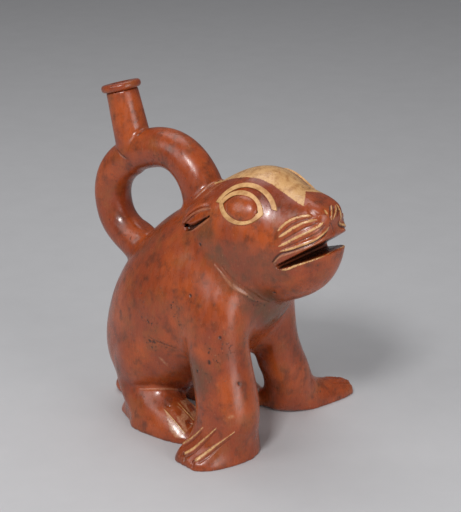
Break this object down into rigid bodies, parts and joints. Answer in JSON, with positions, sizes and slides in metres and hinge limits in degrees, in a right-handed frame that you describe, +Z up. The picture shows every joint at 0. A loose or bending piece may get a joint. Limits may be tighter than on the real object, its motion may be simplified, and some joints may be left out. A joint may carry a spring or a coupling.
{
  "type": "effigy vessel",
  "caption": "Hollow fired clay stirrup-spout bottle shaped as a sitting sea lion, with a ring-shaped tube and a short leaning spout on its back.",
  "frame": {"origin": "middle of the vessel's bounding box, on the ground plane under the flippers", "axes": "+Z up, -Y the way the animal looks, -X its right side; its mirror plane lies at x = -0.0105 m"},
  "size_m": [0.148, 0.1762, 0.2015],
  "materials": {
    "red_slip": "satin",
    "cream_slip": "satin",
    "worn_slip": "matte"
  },
  "bodies": {
    "root": {"tail_stub": "red_slip", "stirrup_front_arm": "red_slip", "stirrup_rear_arm": "red_slip", "spout_tube": "red_slip", "spout_lip": "red_slip", "body_shell_right": "red_slip", "body_shell_left": "red_slip", "head_shell_right": "red_slip", "head_shell_left": "red_slip", "eyeball_right": "red_slip", "eyeball_left": "red_slip", "eyelid_ring_right": "cream_slip", "eyelid_ring_left": "cream_slip", "brow_band_right": "cream_slip", "brow_band_left": "cream_slip", "ear_right": "red_slip", "ear_left": "red_slip", "foreleg_right": "red_slip", "foreleg_left": "red_slip", "fore_flipper_right": "red_slip", "fore_flipper_left": "red_slip", "hind_flipper_right": "worn_slip", "hind_flipper_left": "worn_slip"}
  },
  "joints": []
}
